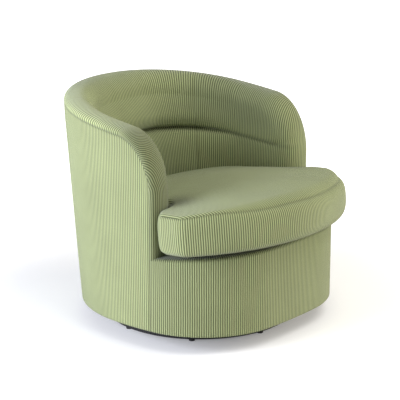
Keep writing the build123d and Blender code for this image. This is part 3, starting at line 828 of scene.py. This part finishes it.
def arc_chain(arcs, step):
    """Points and outward normals along arcs and the straight runs between them.

    An arc is its centre, radius, first angle and last angle; one that turns backwards is hollow.
    """
    points, normals = [], []
    for centre, radius, first, last in arcs:
        angle = np.linspace(first, last, int(radius * abs(last - first) / step) + 2)
        ray = np.stack([np.cos(angle), np.sin(angle)], axis=-1)
        here = np.array(centre) + radius * ray
        if points:
            gap = here[0] - points[-1][-1]
            share = np.linspace(0.0, 1.0, int(np.linalg.norm(gap) / step) + 2)[1:-1, None]
            points.append(points[-1][-1] + gap * share)
            normals.append(np.repeat(normals[-1][-1:], len(share), axis=0))
        points.append(here)
        normals.append(ray * math.copysign(1.0, last - first))
    return np.concatenate(points), np.concatenate(normals)


def cushion_outline(size):
    """Plan of the cushion on the deck: bowed front, an ear before each arm and a rounded back.

    Gives the closed outline, its outward normals and the run along it, the half at +X first.
    """
    middle = size.bow - size.overhang
    ear_x = size.ear - size.ear_front_round
    ear_y = middle - math.sqrt((size.bow - size.ear_front_round) ** 2 - ear_x**2)
    lean = math.atan2(ear_y - middle, ear_x)
    heel, root, back = size.ear_back_round, size.root_round, size.back_round
    arcs = [
        ((0.0, middle), size.bow, -QUARTER, lean),
        ((ear_x, ear_y), size.ear_front_round, lean, 0.0),
        ((size.ear - heel, size.ear_back - heel), heel, 0.0, QUARTER),
        ((size.side + root, size.ear_back + root), root, 3.0 * QUARTER, 2.0 * QUARTER),
        ((size.side - back, size.back - back), back, 0.0, QUARTER),
        ((0.0, size.back), 0.0, QUARTER, QUARTER),
    ]
    points, normals = arc_chain(arcs, CUSHION_STEP)
    flip = np.array([-1.0, 1.0])
    outline = np.concatenate([points, points[-2::-1] * flip])
    facing = np.concatenate([normals, normals[-2::-1] * flip])
    return outline, facing, run_along(outline)


def cushion_patches(size, wall):
    """Boxed cushion: domed top panel, bulging boxing and dished bottom panel on one rounded plan.

    Towards +X, the worn side, its top edge is rounder and its boxing fuller.
    """
    outline, normal, run = cushion_outline(size)

    def dome(flat):
        x, y = flat[..., 0], flat[..., 1]
        spread = (x**2 + (y - size.dome_centre) ** 2) / (2.0 * size.dome)
        return size.crown - spread + SAG * np.sin(x * SAG_ACROSS + SAG_START) * np.sin(y * SAG_ALONG)

    def dish(flat, from_middle):
        return size.lift * from_middle**5 * np.ones(flat.shape[:-1])

    # Painted shade in the hollow behind each ear, by the arm.
    def painted_hollow_shade(flat):
        return bell(np.hypot(np.abs(flat[..., 0]) - size.side, flat[..., 1] - size.ear_back), HOLLOW_SHADE_REACH)

    def ring(inset):
        return outline - normal * inset[..., None]

    worn = smoothstep(WORN_START, WORN_END, outline[:, 0])
    top_round = size.top_round + (size.worn_round - size.top_round) * worn
    bottom_round = np.full_like(run, size.bottom_round)
    puff = size.puff + (size.worn_puff - size.puff) * worn
    edge = dome(outline) - top_round
    foot = bottom_round + size.lift
    low_turn = np.linspace(0.0, size.seam_turn, 7)[:0:-1, None]
    top_turn = np.linspace(0.0, size.top_turn, 7)[1:, None]
    share = np.linspace(0.0, 1.0, 26)[:, None]
    low_inset = bottom_round * (1.0 - np.cos(low_turn))
    top_inset = top_round * (1.0 - np.cos(top_turn))
    low_rise = foot - bottom_round * np.sin(low_turn)
    top_rise = edge + top_round * np.sin(top_turn)
    rise = np.concatenate([low_rise, foot + (edge - foot) * share, top_rise])
    between = (rise - rise[0]) / (rise[-1] - rise[0])
    from_seam = np.minimum(rise - rise[0], rise[-1] - rise)
    inset = np.concatenate([low_inset, 0.0 * share * run, top_inset])
    inset = inset - puff * (1.0 - np.abs(2.0 * between - 1.0) ** 3)
    inset = inset + size.seam_depth * bell(from_seam, SEAM_PULL)
    boxing = np.concatenate([ring(inset), rise[..., None]], axis=-1)
    boxing_uv = np.stack(np.broadcast_arrays(run, rise), axis=-1)
    boxing_shade = np.maximum(bell(from_seam, FINE_LINE) * CUSHION_SHADE, painted_hollow_shade(outline))
    fall = np.linspace(1.0, 0.0, 50)[1:, None]

    def panel(height_at, reach, seam_turn, rising):
        curl = np.linspace(seam_turn, QUARTER, 9)[:, None]
        past_seam = (curl - seam_turn) * reach
        flat_edge = ring(reach * (1.0 - np.cos(curl)) + size.seam_depth * bell(past_seam, SEAM_PULL))
        flat_field = PANEL_MIDDLE + (flat_edge[-1] - PANEL_MIDDLE) * fall[..., None]
        flat = np.concatenate([flat_edge, flat_field])
        lip = height_at(flat_edge, 1.0) - rising * reach * (1.0 - np.sin(curl))
        height = np.concatenate([lip, height_at(flat_field, fall)])
        unrolled = np.concatenate([ring(reach * (1.0 - QUARTER + curl)), flat_field])
        shade = painted_hollow_shade(flat)
        shade[: len(curl)] = np.maximum(shade[: len(curl)], bell(past_seam, FINE_LINE) * CUSHION_SHADE)
        return np.concatenate([flat, height[..., None]], axis=-1), unrolled, shade

    top, top_uv, top_shade = panel(lambda flat, from_middle: dome(flat), top_round, size.top_turn, 1.0)
    base, base_uv, base_shade = panel(dish, bottom_round, size.seam_turn, -1.0)
    top[0] = boxing[-1]
    base[0] = boxing[0]
    patches = [
        (boxing, boxing_uv, boxing_shade),
        (top, top_uv, top_shade),
        (base[::-1], base_uv[::-1], base_shade[::-1]),
    ]
    return [(on_deck(grid, wall), uv, shade) for grid, uv, shade in patches]


def on_deck(grid, wall):
    """Points given across, along and over the raked deck, placed in the chair."""
    rake = wall.size.seat_rake
    along = -wall.size.front_reach + grid[..., 1] * math.cos(rake) + grid[..., 2] * math.sin(rake)
    up = wall.size.seat_height - grid[..., 1] * math.sin(rake) + grid[..., 2] * math.cos(rake)
    return np.stack([grid[..., 0], along, up], axis=-1)


def settings():
    """The chair's settings."""
    return bpy.context.scene.barrel_chair


def cloth_material():
    """The corduroy, made once."""
    found = bpy.data.materials.get("corduroy_sage")
    return found or corduroy("corduroy_sage", settings().cloth)


def frame_finishes():
    """Finish of each material slot of the base, the bearing and the hidden frame."""
    # Slot, then name, dark and light colour, scale of the clouds, limits of the roughness, and relief
    plain = {
        "base_wood": ("stained_black", (0.006,) * 3, (0.014, 0.013, 0.012), 20.0, (0.5, 0.7), 0.0004),
        "base_black": (
            "powder_black", (0.008, 0.008, 0.009), (0.016, 0.016, 0.017), 30.0, (0.42, 0.58), 0.0004
        ),
        "glide_plastic": ("nylon_black", (0.012,) * 3, (0.022,) * 3, 40.0, (0.5, 0.65), 0.0003),
        "zinc_steel": ("zinc_plate", (0.42, 0.42, 0.44), (0.62, 0.62, 0.64), 25.0, (0.28, 0.45), 0.0002),
        "bearing_steel": ("bearing_steel", (0.6, 0.6, 0.62), (0.72, 0.72, 0.74), 60.0, (0.08, 0.16), 0.0001),
        "cage_plastic": ("nylon_cream", (0.62, 0.58, 0.47), (0.72, 0.68, 0.57), 50.0, (0.45, 0.55), 0.0002),
        "board": ("pressed_card", (0.25, 0.17, 0.10), (0.36, 0.26, 0.16), 12.0, (0.75, 0.9), 0.0003),
        "felt": ("needled_felt", (0.16, 0.15, 0.14), (0.30, 0.28, 0.26), 40.0, (0.9, 1.0), 0.0015),
        "dust_cloth": ("cambric_black", (0.008,) * 3, (0.02,) * 3, 80.0, (0.85, 0.95), 0.0003),
    }
    # Slot, then name, dark and light colour, pitch and axis of the bands, roughness, and relief
    striped = {
        "plywood": ("plywood", (0.36, 0.22, 0.11), (0.62, 0.44, 0.26), 0.003, "Z", 0.7, 0.0004),
        "webbing": ("elastic_webbing", (0.05, 0.04, 0.035), (0.12, 0.10, 0.09), 0.004, "X", 0.85, 0.0006),
        "deck_fabric": ("decking_cotton", (0.07, 0.085, 0.04), (0.13, 0.15, 0.075), 0.002, "X", 0.9, 0.0004),
    }
    stretch = {"base_wood": (1, 1, 8), "board": (1, 1, 6)}
    gloss = {
        "base_wood": {"Specular IOR Level": 0.3},
        "base_black": {"Specular IOR Level": 0.4},
        "zinc_steel": {"Metallic": 1.0},
        "bearing_steel": {"Metallic": 1.0},
    }
    finishes = {slot: banded(*row) for slot, row in striped.items()}
    for slot, row in plain.items():
        finishes[slot] = mottled(*row, stretch.get(slot, (1, 1, 1)), gloss.get(slot, {}))
    return finishes


class CHAIR_OT_outside(Operator):
    """Outside cloth round the arms and the back"""

    bl_idname = "chair.outside"
    bl_label = "Outside cover"

    def execute(self, context):
        wall = Wall(settings().body)
        piece = add_mesh("outside_cover", [outside_patch(wall)], cloth_material(), "chair")
        cloth_wall(piece)
        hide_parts("outside_cover_left", "outside_cover_right")
        return {"FINISHED"}


class CHAIR_OT_apron(Operator):
    """Front apron and the covered ledge under the cushion"""

    bl_idname = "chair.apron"
    bl_label = "Apron"

    def execute(self, context):
        wall = Wall(settings().body)
        piece = add_mesh("front_apron", [apron_patch(wall)], cloth_material(), "chair")
        cloth_wall(piece)
        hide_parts("apron_cover")
        return {"FINISHED"}


class CHAIR_OT_inside(Operator):
    """Padded inside, arm fronts and rim"""

    bl_idname = "chair.inside"
    bl_label = "Padded inside"

    def execute(self, context):
        wall = Wall(settings().body)
        piece = add_mesh("padded_inside", inside_patches(wall), cloth_material(), "chair")
        cloth_wall(piece)
        pads = [f"{level}_{side}_pad" for level in ("lower", "upper") for side in ("back", "left", "right")]
        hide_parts("rim_roll", *pads)
        return {"FINISHED"}


class CHAIR_OT_cushion(Operator):
    """Loose boxed seat cushion"""

    bl_idname = "chair.cushion"
    bl_label = "Seat cushion"

    def execute(self, context):
        wall = Wall(settings().body)
        patches = cushion_patches(settings().cushion, wall)
        piece = add_mesh("seat_cushion", patches, cloth_material(), "cushion")
        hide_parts("cushion_cover", "cushion_core")
        return {"FINISHED"}


class CHAIR_OT_frame(Operator):
    """Finishes of the base, the bearing and the hidden frame"""

    bl_idname = "chair.frame"
    bl_label = "Base and frame"

    def execute(self, context):
        finishes = frame_finishes()
        for part in frame["record"]["subparts"]:
            slot = part["material_slot"]
            if slot in finishes:
                shown = frame["nodes"][part["node"]].data.materials
                shown.clear()
                shown.append(finishes[slot])
        return {"FINISHED"}


class CHAIR_OT_stage(Operator):
    """Floor, light and camera"""

    bl_idname = "chair.stage"
    bl_label = "Studio"

    def execute(self, context):
        look = settings().studio
        scene = context.scene
        scene.view_settings.view_transform = "Standard"
        self.add_floor(look)
        self.add_light(scene, look)
        self.add_camera(scene, look)
        return {"FINISHED"}

    def add_floor(self, look):
        """A wide plain floor, lifted to white in the camera's view."""
        half = 30.0
        mesh = bpy.data.meshes.new("studio_floor")
        corners = [(-half, -half, 0), (half, -half, 0), (half, half, 0), (-half, half, 0)]
        mesh.from_pydata(corners, [], [(0, 1, 2, 3)])
        floor = add_object("studio_floor", mesh)
        material, tree = new_material("studio_floor")
        path = tree.nodes.new("ShaderNodeLightPath")
        around = node(tree, "ShaderNodeTexCoord", {}, "Object")
        away = node(tree, "ShaderNodeVectorMath", {0: around}, 1, operation="LENGTH")
        inputs = {"Value": away, "From Min": GLOW_START, "From Max": GLOW_END, "To Min": look.floor_glow}
        lifted = node(tree, "ShaderNodeMapRange", inputs, interpolation_type="SMOOTHSTEP")
        seen = Socket(tree, path.outputs["Is Camera Ray"]) * lifted
        plain = {"Base Color": (*look.floor, 1.0), "Roughness": 0.9, "Specular IOR Level": 0.1}
        close_material(tree, {**plain, "Emission Color": seen, "Emission Strength": 1.0})
        mesh.materials.append(material)

    def add_light(self, scene, look):
        """Three lamps, and light all round that looks white but shines more weakly."""
        world = bpy.data.worlds.new("studio_world")
        scene.world = world
        world.use_nodes = True
        tree = world.node_tree
        tree.nodes.clear()
        path = tree.nodes.new("ShaderNodeLightPath")
        rays = [Socket(tree, path.outputs[f"Is {kind} Ray"]) for kind in ("Camera", "Glossy", "Transmission")]
        seen = rays[0] + rays[1] + rays[2]
        strength = seen.math("MINIMUM", seen, 1.0) * (1.0 - look.fill) + look.fill
        light = node(tree, "ShaderNodeBackground", {"Color": (1, 1, 1, 1), "Strength": strength})
        output = tree.nodes.new("ShaderNodeOutputWorld")
        tree.links.new(light.output, output.inputs["Surface"])
        # Name, power, width, colour and place of each lamp
        lamps = (
            ("key_lamp", look.key, 2.2, (0.82, 0.86, 1.0), (-2.8, 1.0, 0.95)),
            ("top_lamp", look.top, 2.2, (1.0, 0.99, 0.97), (0.2, -1.5, 2.8)),
            ("side_lamp", look.side, 1.4, (1.0, 0.92, 0.74), (2.2, -2.3, 1.1)),
        )
        for lamp in lamps:
            self.add_lamp(*lamp)

    def add_lamp(self, name, power, width, shade, place):
        """A round soft lamp aimed at the middle of the chair."""
        lamp = bpy.data.lights.new(name, "AREA")
        lamp.shape = "DISK"
        lamp.size = width
        lamp.energy = power
        lamp.color = shade
        holder = add_object(name, lamp)
        holder.location = place
        aim = Vector((0, 0, LAMP_AIM)) - holder.location
        holder.rotation_euler = aim.to_track_quat("-Z", "Y").to_euler()

    def add_camera(self, scene, look):
        """Camera on the photograph's line of sight."""
        data = bpy.data.cameras.new("camera")
        data.lens = look.lens
        data.sensor_width = 36.0
        data.shift_x = look.shift_x
        data.shift_y = look.shift_y
        camera = add_object("camera", data)
        level = math.cos(look.elevation)
        back_x = math.sin(look.azimuth) * level
        back_y = -math.cos(look.azimuth) * level
        back = Vector((back_x, back_y, math.sin(look.elevation)))
        camera.location = Vector((0, look.target_front, look.target_height)) + back * look.distance
        camera.rotation_euler = back.to_track_quat("Z", "Y").to_euler()
        scene.camera = camera


class CHAIR_PT_panel(Panel):
    """Lists the chair's pieces"""

    bl_idname = "CHAIR_PT_panel"
    bl_label = "Barrel chair"
    bl_space_type = "VIEW_3D"
    bl_region_type = "UI"
    bl_category = "Chair"

    def draw(self, context):
        for step in STEPS:
            self.layout.operator(step.bl_idname)


STEPS = (CHAIR_OT_outside, CHAIR_OT_apron, CHAIR_OT_inside, CHAIR_OT_cushion, CHAIR_OT_frame, CHAIR_OT_stage)
GROUPS = (BodySizes, CushionSizes, ClothLook, StudioLook, ChairSettings)


def register():
    for group in (*GROUPS, *STEPS, CHAIR_PT_panel):
        bpy.utils.register_class(group)
    bpy.types.Scene.barrel_chair = PointerProperty(type=ChairSettings)


def unregister():
    del bpy.types.Scene.barrel_chair
    for group in reversed((*GROUPS, *STEPS, CHAIR_PT_panel)):
        bpy.utils.unregister_class(group)


def main():
    """Builds every piece."""
    register()
    for step in STEPS:
        getattr(bpy.ops.chair, step.bl_idname.split(".")[1])()


if __name__ == "__main__":
    main()
